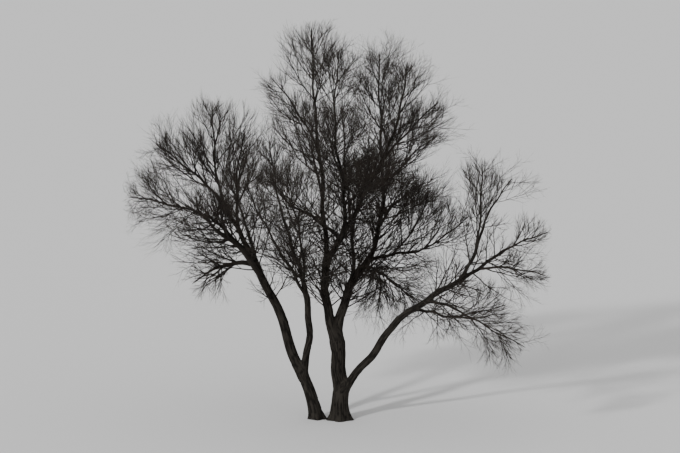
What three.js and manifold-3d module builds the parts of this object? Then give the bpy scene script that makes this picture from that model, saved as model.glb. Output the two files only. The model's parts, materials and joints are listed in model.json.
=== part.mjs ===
// A bare winter tree: two stems and a low side bough from one root crown, the boughs that fork from
// them, and the masses of leafless twigs that make up the crown. Millimetres, +Z up, +X to the right
// and +Y away from the side that shows the stems one beside the other. The origin is the middle of the
// flat cut under the main trunk, at ground level.
import * as THREE from "three";
import { mergeVertices } from "three/addons/utils/BufferGeometryUtils.js";
import Module from "manifold-3d";

const wasm = await Module();
wasm.setup();

const BARK = new THREE.MeshStandardMaterial({ color: 0x2f2b28, roughness: 0.9, metalness: 0 });
const TWIG_BARK = new THREE.MeshStandardMaterial({ color: 0x3d3530, roughness: 0.85, metalness: 0 });

// What is left between two solids that meet, and how far a twig stays from a limb or a neighbour's space
const GAP = 0.3;
const CLEARANCE = 6;

// The root flare: how much wider a stem is at the ground, over what height that dies away, and its lobes
const FLARE_SHARE = 0.62;
const FLARE_HEIGHT = 110;
const FLARE_LOBES = 5;
const FLARE_LOBE_SHARE = 0.16;

// A limb wanders to both sides of its curve by this share of its length, in so many waves each way
const CROOK_SHARE = 0.012;
const CROOK_WAVES = [1.4, 1.9];
// How far along its length a limb keeps the direction it leaves in
const LEAVING_SHARE = 0.45;
// The stretch of a limb, before and after a point, that gives its direction there
const DIRECTION_STEP = 0.02;
// Limbs that start thicker than this have more faces
const THICK_LIMB = 40;
const GROUND_LIMB_FACES = { sides: 14, steps: 8 };
const THICK_LIMB_FACES = { sides: 8, steps: 5 };
const THIN_LIMB_FACES = { sides: 6, steps: 4 };
// A mass's own stem is a little thinner than the limb that it goes on from, and thinner still where it
// leaves the limb's side. It turns at once this much of the way towards its tip, and ends this thick
const STEM_FOOT_SHARE = 0.9;
const SIDE_STEM_FOOT_SHARE = 0.75;
const STEM_TURN = 0.6;
const STEM_TIP_RADIUS = 7;
const TWIG_TIP_RADIUS = 0.8;

// Each limb leaves its parent at a share of the parent's length and reaches tip. turn is how much of
// the way it turns at once from the parent's direction towards its own tip: 0 goes on as the parent
// does, 1 goes straight. A limb with a bow stands that far off the straight line to its tip instead, in
// its middle.
function limb(name, parent, at, tip, radii, course) {
  return { name, parent, at, tip, radii, ...course };
}

const LIMBS = [
  limb("trunk", null, 0, [-45, 0, 1200], [126, 106], { foot: [0, 0, 0], bow: [15, 0, 0] }),
  limb("left_stem", null, 0, [-1310, 400, 2400], [92, 58], { foot: [-336, 60, 0], bow: [50, -40, 0] }),
  limb("middle_stem", "left_stem", 0.27, [-496, -320, 1940], [60, 46], { bow: [60, 0, 0] }),
  limb("right_bough", "trunk", 0.315, [860, -400, 1590], [62, 54], { bow: [0, -30, 0] }),
  limb("right_arm", "right_bough", 1, [1820, -720, 2270], [52, 38], { turn: 0.8 }),
  limb("right_tip", "right_arm", 1, [2390, -740, 2680], [32, 20], { turn: 0.4 }),
  limb("right_riser", "right_arm", 0.96, [2140, -480, 3090], [30, 19], { turn: 0.7 }),
  limb("right_droop", "right_arm", 0.45, [1750, -1120, 1850], [26, 17], { turn: 0.7 }),
  limb("right_underarm", "right_arm", 0.22, [1550, 160, 1530], [26, 17], { turn: 0.7 }),
  limb("left_fork", "trunk", 0.97, [-208, 160, 2320], [76, 58], { bow: [-75, 0, 0] }),
  limb("right_fork", "trunk", 0.96, [450, 480, 2370], [80, 52], { bow: [-120, 0, 50] }),
  limb("centre_bough", "left_fork", 1, [30, -80, 2790], [54, 44], { turn: 0.8 }),
  limb("back_riser", "left_fork", 0.94, [-350, 640, 4220], [44, 24], { turn: 0.4 }),
  limb("crossing_bough", "centre_bough", 0.9, [-730, 400, 3180], [28, 19], { turn: 0.8 }),
  limb("leading_bough", "centre_bough", 1, [790, -480, 4380], [40, 23], { turn: 0.5 }),
  limb("front_riser", "centre_bough", 0.95, [-60, -720, 4170], [30, 20], { turn: 0.5 }),
  limb("crown_riser", "right_fork", 1, [630, 720, 3810], [38, 24], { turn: 0.5 }),
  limb("level_bough", "right_fork", 0.97, [1150, 160, 2520], [26, 18], { turn: 0.8 }),
  limb("hanging_bough", "right_fork", 0.9, [790, 960, 1920], [26, 17], { turn: 0.8 }),
  limb("rear_bough", "right_fork", 0.66, [150, 1440, 2900], [34, 21], { turn: 0.7 }),
  limb("left_branch", "left_stem", 0.93, [-1930, -240, 3110], [36, 21], { turn: 0.6 }),
  limb("left_leader", "left_stem", 1, [-1860, 640, 3310], [46, 26], { turn: 0.4 }),
  limb("left_rear", "left_stem", 0.82, [-1490, 1440, 2900], [32, 20], { turn: 0.7 }),
  limb("inner_left", "middle_stem", 0.97, [-960, -720, 2800], [28, 18], { turn: 0.9 }),
  limb("inner_riser", "middle_stem", 1, [-850, 0, 3060], [34, 20], { turn: 0.6 }),
  limb("inner_front", "middle_stem", 0.93, [-570, -1280, 2880], [28, 18], { turn: 0.8 }),
];

// Each mass of twigs grows from one stem, which leaves its limb at a share of the limb's length and
// reaches tip, on the crown's outline. The mass keeps to a long round space about that stem, spread
// wide to each side of it.
const MASSES = [
  { name: "twigs_left_far", limb: "left_branch", at: 1, tip: [-3130, -480, 3450], spread: 820 },
  { name: "twigs_left_high", limb: "left_leader", at: 1, tip: [-2770, 480, 4120], spread: 820 },
  { name: "twigs_left_top", limb: "left_leader", at: 0.8, tip: [-1930, 1120, 4680], spread: 820 },
  { name: "twigs_left_crest", limb: "left_leader", at: 0.45, tip: [-1410, 160, 4370], spread: 690 },
  { name: "twigs_left_rear", limb: "left_rear", at: 1, tip: [-1970, 2160, 3770], spread: 930 },
  { name: "twigs_left_front", limb: "left_stem", at: 0.88, tip: [-2290, -1760, 3510], spread: 930 },
  { name: "twigs_left_low", limb: "left_stem", at: 0.95, tip: [-2210, -200, 2090], spread: 620 },
  { name: "twigs_inner_left", limb: "inner_left", at: 1, tip: [-1370, -1440, 3790], spread: 760 },
  { name: "twigs_inner_riser", limb: "inner_riser", at: 1, tip: [-1050, -160, 4260], spread: 650 },
  { name: "twigs_inner_front", limb: "inner_front", at: 1, tip: [-770, -2080, 4040], spread: 820 },
  { name: "twigs_crossing", limb: "crossing_bough", at: 1, tip: [-1090, 960, 3700], spread: 650 },
  { name: "twigs_upper_left", limb: "back_riser", at: 0.9, tip: [-1050, 800, 5090], spread: 620 },
  { name: "twigs_top", limb: "back_riser", at: 1, tip: [-420, 320, 5900], spread: 760 },
  { name: "twigs_back_left", limb: "back_riser", at: 0.55, tip: [-690, 1920, 4370], spread: 820 },
  { name: "twigs_centre_top", limb: "front_riser", at: 1, tip: [-10, -640, 5660], spread: 760 },
  { name: "twigs_front_top", limb: "front_riser", at: 0.65, tip: [-370, -1760, 4800], spread: 820 },
  { name: "twigs_leading_top", limb: "leading_bough", at: 1, tip: [990, -480, 5430], spread: 690 },
  { name: "twigs_leading_right", limb: "leading_bough", at: 0.75, tip: [1460, -800, 4910], spread: 690 },
  { name: "twigs_front_right", limb: "leading_bough", at: 0.35, tip: [510, -1920, 3860], spread: 930 },
  { name: "twigs_crown_top", limb: "crown_riser", at: 1, tip: [580, 560, 5490], spread: 760 },
  { name: "twigs_crown_right", limb: "crown_riser", at: 0.7, tip: [1500, 1120, 4160], spread: 760 },
  { name: "twigs_rear_right", limb: "crown_riser", at: 0.35, tip: [1340, 1760, 3340], spread: 820 },
  { name: "twigs_rear_top", limb: "rear_bough", at: 1, tip: [30, 1920, 4530], spread: 870 },
  { name: "twigs_rear", limb: "rear_bough", at: 0.7, tip: [510, 2400, 3740], spread: 870 },
  { name: "twigs_level_up", limb: "level_bough", at: 0.5, tip: [1310, -480, 3530], spread: 620 },
  { name: "twigs_level_out", limb: "level_bough", at: 1, tip: [1950, 320, 3060], spread: 640 },
  { name: "twigs_hanging", limb: "hanging_bough", at: 1, tip: [1270, 1360, 1500], spread: 580 },
  { name: "twigs_hanging_inner", limb: "hanging_bough", at: 0.5, tip: [550, 640, 1480], spread: 470 },
  { name: "twigs_riser_right", limb: "right_riser", at: 1, tip: [2550, -400, 3720], spread: 490 },
  { name: "twigs_riser_left", limb: "right_riser", at: 0.5, tip: [2110, 0, 3900], spread: 550 },
  { name: "twigs_right_far", limb: "right_tip", at: 1, tip: [3070, -720, 2960], spread: 530 },
  { name: "twigs_right_level", limb: "right_tip", at: 0.4, tip: [3030, -1120, 2370], spread: 490 },
  { name: "twigs_right_droop", limb: "right_droop", at: 1, tip: [2710, -1520, 1380], spread: 580 },
  { name: "twigs_right_under", limb: "right_underarm", at: 1, tip: [2510, 480, 1660], spread: 620 },
];

// How a twig branches. count is how many side twigs it has over the span of its length. They lean away
// from it by lean degrees, reach length times as far as it does, and are thick times as thick.
const BRANCHING = [
  { count: 10, span: [0.1, 0.94], lean: [24, 52], length: [0.5, 0.95], thick: 0.62 },
  { count: 4, span: [0.2, 0.92], lean: [20, 46], length: [0.45, 0.8], thick: 0.68 },
];
// From one side twig to the next, as a share of the span and of a full turn round it, so that however
// many there are, they stand evenly apart
const SPACING = 0.7549;
const TURNING = 0.5698;
const TWIG_RADII = [4, 16];
const TWIG_SHORTEST = 120;
// Side twigs are shorter towards the tip of what they grow on
const TIP_SHORTENING = 0.3;
// Their ends rise in a mass that rises, and less in one that lies level, and those of a hanging mass sink
const LIFT = 0.35;
const LEVEL_LIFT_SHARE = 0.4;
const RISING_LIFT_SHARE = 1.2;
const LIFT_SHARES = [-0.3, 1];
// Where a twig would run out of its mass's space, it takes some of the room, for a feathery outline
const ROOM_SHARE = [0.65, 1];
// A mass's space along its stem: where its middle is, and half its length, as shares of the stem's
const SPACE_MIDDLE = 0.58;
const SPACE_HALF = 0.44;
const TWIG_SIDES = 3;
const STEM_SIDES = 5;
const STEM_STEPS = 3;
// The straight lines that stand for a limb and for a twig where they might touch
const LIMB_CHORDS = 6;
const TWIG_CHORDS = 2;

// The same seeded chances wherever the rule is written: a whole number stands for each twig, and its
// side twigs' numbers follow from its own
const HASH_STEP = 0x9e3779b9;
const HEIR_STEP = 0x85ebca6b;
const FIRST_MASS_KEY = 1000;

function mix(number) {
  let x = number >>> 0;
  x = Math.imul(x ^ (x >>> 16), 0x7feb352d);
  x = Math.imul(x ^ (x >>> 15), 0x846ca68b);
  return (x ^ (x >>> 16)) >>> 0;
}

function chance(key, draw) {
  return mix(key + Math.imul(draw, HASH_STEP)) / 2 ** 32;
}

function between(range, share) {
  return range[0] + (range[1] - range[0]) * share;
}

function vector([x, y, z]) {
  return new THREE.Vector3(x, y, z);
}

function anyAcross(direction) {
  const least = Math.abs(direction.z) < 0.8 ? vector([0, 0, 1]) : vector([1, 0, 0]);
  return least.cross(direction).normalize();
}

// A curve that leaves foot towards knee, wanders a little on its way to tip, and gets thinner all along
class Growth {
  constructor(foot, knee, tip, radii, key) {
    const length = foot.distanceTo(tip);
    this.curve = new THREE.QuadraticBezierCurve3(foot, knee, tip);
    this.length = length;
    this.radii = radii;
    this.crook = length * CROOK_SHARE;
    this.phases = [chance(key, 1), chance(key, 2)];
    this.side = anyAcross(tip.clone().sub(foot).normalize());
    this.otherSide = this.side.clone().cross(tip.clone().sub(foot).normalize());
  }

  point(share) {
    const held = Math.sin(Math.PI * share) * this.crook;
    const wave = (turns, phase) => Math.sin(2 * Math.PI * (turns * share + phase));
    return this.curve
      .getPoint(share)
      .addScaledVector(this.side, held * wave(CROOK_WAVES[0], this.phases[0]))
      .addScaledVector(this.otherSide, held * wave(CROOK_WAVES[1], this.phases[1]));
  }

  direction(share) {
    const from = this.point(Math.max(0, share - DIRECTION_STEP));
    return this.point(Math.min(1, share + DIRECTION_STEP)).sub(from).normalize();
  }

  radius(share) {
    return between(this.radii, share);
  }

  chords(count) {
    return Array.from({ length: count }, (_, i) => ({
      from: this.point(i / count),
      to: this.point((i + 1) / count),
      radius: this.radius(i / count),
    }));
  }
}

// A closed cylinder or cone of radius 1 and height 1, bent along a growth and given its radii. extra
// goes on every face, and level makes the foot a flat cut at the ground.
function bend(growth, { sides, steps, pointed = false, extra = 0, level = false, shapeAt = () => 1 }) {
  const shape = pointed
    ? new THREE.ConeGeometry(1, 1, sides, steps)
    : new THREE.CylinderGeometry(1, 1, 1, sides, steps);
  let across = anyAcross(growth.direction(0));
  const rings = Array.from({ length: steps + 1 }, (_, i) => {
    const share = i / steps;
    const along = level && i === 0 ? vector([0, 0, 1]) : growth.direction(share);
    across = across.clone().addScaledVector(along, -across.dot(along)).normalize();
    const beyond = i === 0 ? -extra : i === steps ? extra : 0;
    const centre = growth.point(share).addScaledVector(along, beyond);
    return { centre, across, other: across.clone().cross(along), share };
  });
  const around = extra / Math.cos(Math.PI / sides);
  const position = shape.attributes.position;
  for (let i = 0; i < position.count; i++) {
    const ring = rings[Math.round((position.getY(i) + 0.5) * steps)];
    const out = Math.hypot(position.getX(i), position.getZ(i));
    const place = ring.centre.clone();
    if (out > 1e-6) {
      const [cos, sin] = [position.getX(i) / out, position.getZ(i) / out];
      const angle = Math.atan2(sin, cos);
      const radius = growth.radius(ring.share) * shapeAt(ring.centre.z, angle) + around;
      place.addScaledVector(ring.across, cos * radius).addScaledVector(ring.other, sin * radius);
    }
    position.setXYZ(i, place.x, place.y, place.z);
  }
  return solidOf(shape);
}

function solidOf(geometry) {
  geometry.deleteAttribute("normal");
  geometry.deleteAttribute("uv");
  const merged = mergeVertices(geometry, 1e-3);
  return new wasm.Manifold(
    new wasm.Mesh({
      numProp: 3,
      vertProperties: merged.attributes.position.array,
      triVerts: new Uint32Array(merged.index.array),
    }),
  );
}

function largestPiece(solid) {
  return solid.decompose().sort((a, b) => b.volume() - a.volume())[0];
}

function meshOf(name, solid, material) {
  const { vertProperties, triVerts } = solid.getMesh();
  const geometry = new THREE.BufferGeometry();
  geometry.setAttribute("position", new THREE.BufferAttribute(vertProperties, 3));
  geometry.setIndex(new THREE.BufferAttribute(triVerts, 1));
  geometry.computeVertexNormals();
  const mesh = new THREE.Mesh(geometry, material);
  mesh.name = name;
  return mesh;
}

function kneeAlong(foot, leaving, tip) {
  return foot.clone().addScaledVector(leaving, foot.distanceTo(tip) * LEAVING_SHARE);
}

function leavingDirection(parent, at, foot, tip, turn) {
  const straight = tip.clone().sub(foot).normalize();
  return parent.direction(at).lerp(straight, turn).normalize();
}

function growLimb(spec, index, grown) {
  const parent = grown.get(spec.parent);
  const foot = parent ? parent.point(spec.at) : vector(spec.foot);
  const tip = vector(spec.tip);
  const knee = spec.bow
    ? foot.clone().lerp(tip, 0.5).addScaledVector(vector(spec.bow), 2)
    : kneeAlong(foot, leavingDirection(parent, spec.at, foot, tip, spec.turn), tip);
  return new Growth(foot, knee, tip, spec.radii, mix(index));
}

// A stem's section: round above, and spread into lobes that run out as roots towards the ground
function flareAt(height, angle) {
  const low = Math.exp(-height / FLARE_HEIGHT);
  return 1 + low * (FLARE_SHARE + FLARE_LOBE_SHARE * Math.cos(FLARE_LOBES * angle));
}

function limbSolid(growth, spec, extra) {
  if (!spec.parent) return bend(growth, { ...GROUND_LIMB_FACES, extra, level: true, shapeAt: flareAt });
  return bend(growth, { ...(spec.radii[0] > THICK_LIMB ? THICK_LIMB_FACES : THIN_LIMB_FACES), extra });
}

// A mass's space is an ellipsoid about its stem, inside the planes that part it from other spaces
class Space {
  constructor(foot, tip, spread) {
    this.axis = tip.clone().sub(foot).normalize();
    this.long = foot.distanceTo(tip) * SPACE_HALF;
    this.spread = spread;
    this.centre = foot.clone().lerp(tip, SPACE_MIDDLE);
    this.planes = [];
  }

  partFrom(other) {
    const between = other.centre.clone().sub(this.centre);
    const apart = between.length();
    const share = 0.5 + (this.spread ** 2 - other.spread ** 2) / (2 * apart ** 2);
    this.planes.push({ normal: between.divideScalar(apart), reach: apart * share - CLEARANCE });
  }

  squash(v) {
    const along = v.dot(this.axis);
    const across = v.clone().addScaledVector(this.axis, -along);
    return across.divideScalar(this.spread).addScaledVector(this.axis, along / this.long);
  }

  // How far a straight line runs from a point in the space until it leaves it
  room(from, direction) {
    const start = this.squash(from.clone().sub(this.centre));
    const way = this.squash(direction);
    const [a, b, c] = [way.lengthSq(), start.dot(way), start.lengthSq() - 1];
    if (c > 0 && b > 0) return 0;
    let room = (-b + Math.sqrt(Math.max(0, b * b - a * c))) / a;
    for (const plane of this.planes) {
      const left = plane.reach - from.clone().sub(this.centre).dot(plane.normal);
      const closing = direction.dot(plane.normal);
      if (left < 0) return 0;
      if (closing > 0) room = Math.min(room, left / closing);
    }
    return room;
  }
}

// The shortest distance between two straight chords
function distanceBetween(a, b) {
  const [u, v, w] = [a.to.clone().sub(a.from), b.to.clone().sub(b.from), a.from.clone().sub(b.from)];
  const [uu, uv, vv, uw, vw] = [u.dot(u), u.dot(v), v.dot(v), u.dot(w), v.dot(w)];
  const clamp = THREE.MathUtils.clamp;
  const free = uu * vv - uv * uv;
  let s = free > 1e-9 * uu * vv ? clamp((uv * vw - vv * uw) / free, 0, 1) : 0;
  const t = clamp((uv * s + vw) / vv, 0, 1);
  s = clamp((uv * t - uw) / uu, 0, 1);
  return w.addScaledVector(u, s).addScaledVector(v, -t).length();
}

function touches(chords, obstacles) {
  return chords.some((a) =>
    obstacles.some((b) => distanceBetween(a, b) < a.radius + b.radius + CLEARANCE),
  );
}

// The side twigs of one twig, each with its growth and number, without those that lack room or touch
// a limb
function sideTwigs(twig, rule, space, obstacles) {
  const found = [];
  for (let i = 0; i < rule.count; i++) {
    const key = mix(twig.key ^ Math.imul(i + 1, HEIR_STEP));
    const at = between(rule.span, (i * SPACING + chance(twig.key, 3)) % 1);
    const foot = twig.growth.point(at);
    const along = twig.growth.direction(at);
    const lean = THREE.MathUtils.degToRad(between(rule.lean, chance(key, 4)));
    const turn = 2 * Math.PI * (i * TURNING + chance(twig.key, 5));
    const aside = anyAcross(along).applyAxisAngle(along, turn);
    const leaving = along.clone().multiplyScalar(Math.cos(lean)).addScaledVector(aside, Math.sin(lean));
    const heading = leaving.clone().add(vector([0, 0, space.lift])).normalize();
    const wanted = twig.growth.length * between(rule.length, chance(key, 6)) * (1 - TIP_SHORTENING * at);
    const length = Math.min(wanted, space.room(foot, heading) * between(ROOM_SHARE, chance(key, 7)));
    if (length < TWIG_SHORTEST) continue;
    const tip = foot.clone().addScaledVector(heading, length);
    const knee = kneeAlong(foot, leaving, tip);
    const radius = THREE.MathUtils.clamp(twig.growth.radius(at) * rule.thick, ...TWIG_RADII);
    const growth = new Growth(foot, knee, tip, [radius, TWIG_TIP_RADIUS], key);
    if (!touches(growth.chords(TWIG_CHORDS), obstacles)) found.push({ growth, key });
  }
  return found;
}

function growMass(mass, space, obstacles) {
  const grown = [];
  let order = [mass];
  for (const rule of BRANCHING) {
    order = order.flatMap((twig) => sideTwigs(twig, rule, space, obstacles));
    grown.push(...order);
  }
  return grown;
}

const limbs = new Map();
LIMBS.forEach((spec, index) => limbs.set(spec.name, growLimb(spec, index, limbs)));

const masses = MASSES.map((spec, index) => {
  const bearer = limbs.get(spec.limb);
  const tip = vector(spec.tip);
  const foot = bearer.point(spec.at);
  const knee = kneeAlong(foot, leavingDirection(bearer, spec.at, foot, tip, STEM_TURN), tip);
  const share = spec.at === 1 ? STEM_FOOT_SHARE : SIDE_STEM_FOOT_SHARE;
  const radii = [bearer.radius(spec.at) * share, STEM_TIP_RADIUS];
  const key = mix(FIRST_MASS_KEY + index);
  const space = new Space(foot, tip, spec.spread);
  const rising = LEVEL_LIFT_SHARE + RISING_LIFT_SHARE * space.axis.z;
  space.lift = LIFT * THREE.MathUtils.clamp(rising, ...LIFT_SHARES);
  return { ...spec, key, space, growth: new Growth(foot, knee, tip, radii, key) };
});
for (const mass of masses) {
  masses.filter((other) => other !== mass).forEach((other) => mass.space.partFrom(other.space));
}

const limbChords = [...limbs.values()].flatMap((growth) => growth.chords(LIMB_CHORDS));
const tree = new THREE.Group();
tree.name = "bare_winter_tree";

// Each limb is cut clear of the limbs that were there before it
const allowances = [];
LIMBS.forEach((spec) => {
  const growth = limbs.get(spec.name);
  let solid = limbSolid(growth, spec, 0);
  for (const allowance of allowances) solid = solid.subtract(allowance);
  tree.add(meshOf(spec.name, largestPiece(solid), BARK));
  allowances.push(limbSolid(growth, spec, GAP));
});

for (const mass of masses) {
  const obstacles = [
    ...limbChords,
    ...masses.filter((other) => other !== mass).flatMap((other) => other.growth.chords(STEM_STEPS)),
  ];
  const parts = [bend(mass.growth, { sides: STEM_SIDES, steps: STEM_STEPS })];
  for (const twig of growMass(mass, mass.space, obstacles)) {
    parts.push(bend(twig.growth, { sides: TWIG_SIDES, steps: 1, pointed: true }));
  }
  let solid = wasm.Manifold.union(parts);
  for (const allowance of allowances) solid = solid.subtract(allowance);
  tree.add(meshOf(mass.name, largestPiece(solid), TWIG_BARK));
}

export default tree;
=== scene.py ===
"""A bare winter tree: barked stems and boughs, and a crown of leafless twigs that branch by a seeded rule.

Metres, +Z up, +X to the right and +Y away from the camera. The origin is the middle of the flat cut under
the trunk.
"""
import json
from math import cos, pi, radians, sin
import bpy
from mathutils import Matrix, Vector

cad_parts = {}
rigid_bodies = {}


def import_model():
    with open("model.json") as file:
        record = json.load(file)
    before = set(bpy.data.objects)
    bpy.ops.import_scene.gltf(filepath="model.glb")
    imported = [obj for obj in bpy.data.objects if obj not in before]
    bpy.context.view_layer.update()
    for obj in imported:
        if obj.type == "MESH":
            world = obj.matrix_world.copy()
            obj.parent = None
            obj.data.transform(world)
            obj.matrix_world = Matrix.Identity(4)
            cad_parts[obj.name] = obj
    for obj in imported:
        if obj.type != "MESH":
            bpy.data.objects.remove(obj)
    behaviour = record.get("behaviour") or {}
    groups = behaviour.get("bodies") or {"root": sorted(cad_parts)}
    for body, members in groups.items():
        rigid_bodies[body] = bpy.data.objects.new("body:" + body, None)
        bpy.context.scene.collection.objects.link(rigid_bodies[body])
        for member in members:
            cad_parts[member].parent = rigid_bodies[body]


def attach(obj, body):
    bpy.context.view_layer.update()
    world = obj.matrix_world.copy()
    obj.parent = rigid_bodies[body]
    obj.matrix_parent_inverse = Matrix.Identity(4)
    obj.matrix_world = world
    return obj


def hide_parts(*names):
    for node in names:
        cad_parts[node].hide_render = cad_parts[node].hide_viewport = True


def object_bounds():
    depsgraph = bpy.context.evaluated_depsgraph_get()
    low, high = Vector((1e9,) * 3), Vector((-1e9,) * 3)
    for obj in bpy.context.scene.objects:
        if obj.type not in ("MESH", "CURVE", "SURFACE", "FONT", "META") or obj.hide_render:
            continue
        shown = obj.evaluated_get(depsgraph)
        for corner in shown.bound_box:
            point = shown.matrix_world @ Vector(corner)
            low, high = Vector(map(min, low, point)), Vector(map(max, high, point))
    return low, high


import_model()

from types import SimpleNamespace

import bpy
import numpy as np

CAD_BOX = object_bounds()

# The root flare: how much wider a stem is at the ground, over what height that dies away, and its lobes
FLARE_SHARE = 0.62
FLARE_HEIGHT = 0.11
FLARE_LOBES = 5
FLARE_LOBE_SHARE = 0.16

# A limb wanders to both sides of its curve by this share of its length, in so many waves each way
CROOK_SHARE = 0.012
CROOK_WAVES = (1.4, 1.9)
# How far along its length a limb keeps the direction it leaves in
LEAVING_SHARE = 0.45
# The stretch of a limb, before and after a point, that gives its direction there
DIRECTION_STEP = 0.02
# A mass's own stem is a little thinner than the limb that it goes on from, and thinner still where it
# leaves the limb's side. It turns at once this much of the way towards its tip, and ends this thick
STEM_FOOT_SHARE = 0.9
SIDE_STEM_FOOT_SHARE = 0.75
STEM_TURN = 0.6
STEM_TIP_RADIUS = 0.007
# A twig thins to this share of its foot's radius, and its last part is a cone
TWIG_TIP_SHARE = 0.4
# How many rings the tubes of a limb or a mass's stem have, and how many sides
STEM_STEPS = 14
STEM_SIDES = 8
# A side twig's foot is at most this share of the width of its twig there
FOOT_SHARE = 0.85
# How far a twig stays from a limb or a neighbour's space
CLEARANCE = 0.006
# The straight lines that stand for a limb, a mass's stem and a twig where they might touch
LIMB_CHORDS = 6
STEM_CHORDS = 3
TWIG_CHORDS = 2
# A mass's space along its stem: where its middle is, and half its length, as shares of the stem's
SPACE_MIDDLE = 0.58
SPACE_HALF = 0.44
# A limb this much further off than a mass's space reaches can't touch its twigs
FAR_MARGIN = 0.2
# How far any twig may stand out of the box round the solids
BOX_MARGIN = 0.06
# A direction that rises or falls less steeply than this takes its side from the Z axis, and a steeper one
# from the X axis
STEEP = 0.8
# The least that a length and a product of squares are divided by, and the share of that product below which
# two lines count as parallel
LEAST_LENGTH = 1e-9
LEAST_PRODUCT = 1e-12
PARALLEL_SHARE = 1e-9


def limb(name, parent, at, tip, radii, turn=None, bow=None, foot=None):
    """A limb leaves its parent at a share of the parent's length and reaches tip. turn is how much of the way
    it turns at once towards its tip. A limb with a bow stands that far off the straight line to its tip
    instead, in its middle. foot is where a limb without a parent starts."""
    return SimpleNamespace(
        name=name, parent=parent, at=at, tip=tip, radii=radii, turn=turn, bow=bow, foot=foot
    )


def mass(name, crown, bearer, at, tip, spread):
    """A mass of twigs grows from a stem that leaves its bearer, a limb, at a share of the limb's length and
    reaches tip. Its space is spread wide to each side of that stem. crown is the piece that its twigs are
    joined into."""
    return SimpleNamespace(name=name, crown=crown, bearer=bearer, at=at, tip=tip, spread=spread)


LIMBS = [
    limb("trunk", None, 0, (-0.045, 0, 1.2), (0.126, 0.106), bow=(0.015, 0, 0), foot=(0, 0, 0)),
    limb(
        "left_stem", None, 0, (-1.31, 0.4, 2.4), (0.092, 0.058), bow=(0.05, -0.04, 0), foot=(-0.336, 0.06, 0)
    ),
    limb("middle_stem", "left_stem", 0.27, (-0.496, -0.32, 1.94), (0.06, 0.046), bow=(0.06, 0, 0)),
    limb("right_bough", "trunk", 0.315, (0.86, -0.4, 1.59), (0.062, 0.054), bow=(0, -0.03, 0)),
    limb("right_arm", "right_bough", 1, (1.82, -0.72, 2.27), (0.052, 0.038), turn=0.8),
    limb("right_tip", "right_arm", 1, (2.39, -0.74, 2.68), (0.032, 0.02), turn=0.4),
    limb("right_riser", "right_arm", 0.96, (2.14, -0.48, 3.09), (0.03, 0.019), turn=0.7),
    limb("right_droop", "right_arm", 0.45, (1.75, -1.12, 1.85), (0.026, 0.017), turn=0.7),
    limb("right_underarm", "right_arm", 0.22, (1.55, 0.16, 1.53), (0.026, 0.017), turn=0.7),
    limb("left_fork", "trunk", 0.97, (-0.208, 0.16, 2.32), (0.076, 0.058), bow=(-0.075, 0, 0)),
    limb("right_fork", "trunk", 0.96, (0.45, 0.48, 2.37), (0.08, 0.052), bow=(-0.12, 0, 0.05)),
    limb("centre_bough", "left_fork", 1, (0.03, -0.08, 2.79), (0.054, 0.044), turn=0.8),
    limb("back_riser", "left_fork", 0.94, (-0.35, 0.64, 4.22), (0.044, 0.024), turn=0.4),
    limb("crossing_bough", "centre_bough", 0.9, (-0.73, 0.4, 3.18), (0.028, 0.019), turn=0.8),
    limb("leading_bough", "centre_bough", 1, (0.79, -0.48, 4.38), (0.04, 0.023), turn=0.5),
    limb("front_riser", "centre_bough", 0.95, (-0.06, -0.72, 4.17), (0.03, 0.02), turn=0.5),
    limb("crown_riser", "right_fork", 1, (0.63, 0.72, 3.81), (0.038, 0.024), turn=0.5),
    limb("level_bough", "right_fork", 0.97, (1.15, 0.16, 2.52), (0.026, 0.018), turn=0.8),
    limb("hanging_bough", "right_fork", 0.9, (0.79, 0.96, 1.92), (0.026, 0.017), turn=0.8),
    limb("rear_bough", "right_fork", 0.66, (0.15, 1.44, 2.9), (0.034, 0.021), turn=0.7),
    limb("left_branch", "left_stem", 0.93, (-1.93, -0.24, 3.11), (0.036, 0.021), turn=0.6),
    limb("left_leader", "left_stem", 1, (-1.86, 0.64, 3.31), (0.046, 0.026), turn=0.4),
    limb("left_rear", "left_stem", 0.82, (-1.49, 1.44, 2.9), (0.032, 0.02), turn=0.7),
    limb("inner_left", "middle_stem", 0.97, (-0.96, -0.72, 2.8), (0.028, 0.018), turn=0.9),
    limb("inner_riser", "middle_stem", 1, (-0.85, 0, 3.06), (0.034, 0.02), turn=0.6),
    limb("inner_front", "middle_stem", 0.93, (-0.57, -1.28, 2.88), (0.028, 0.018), turn=0.8),
]

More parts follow.
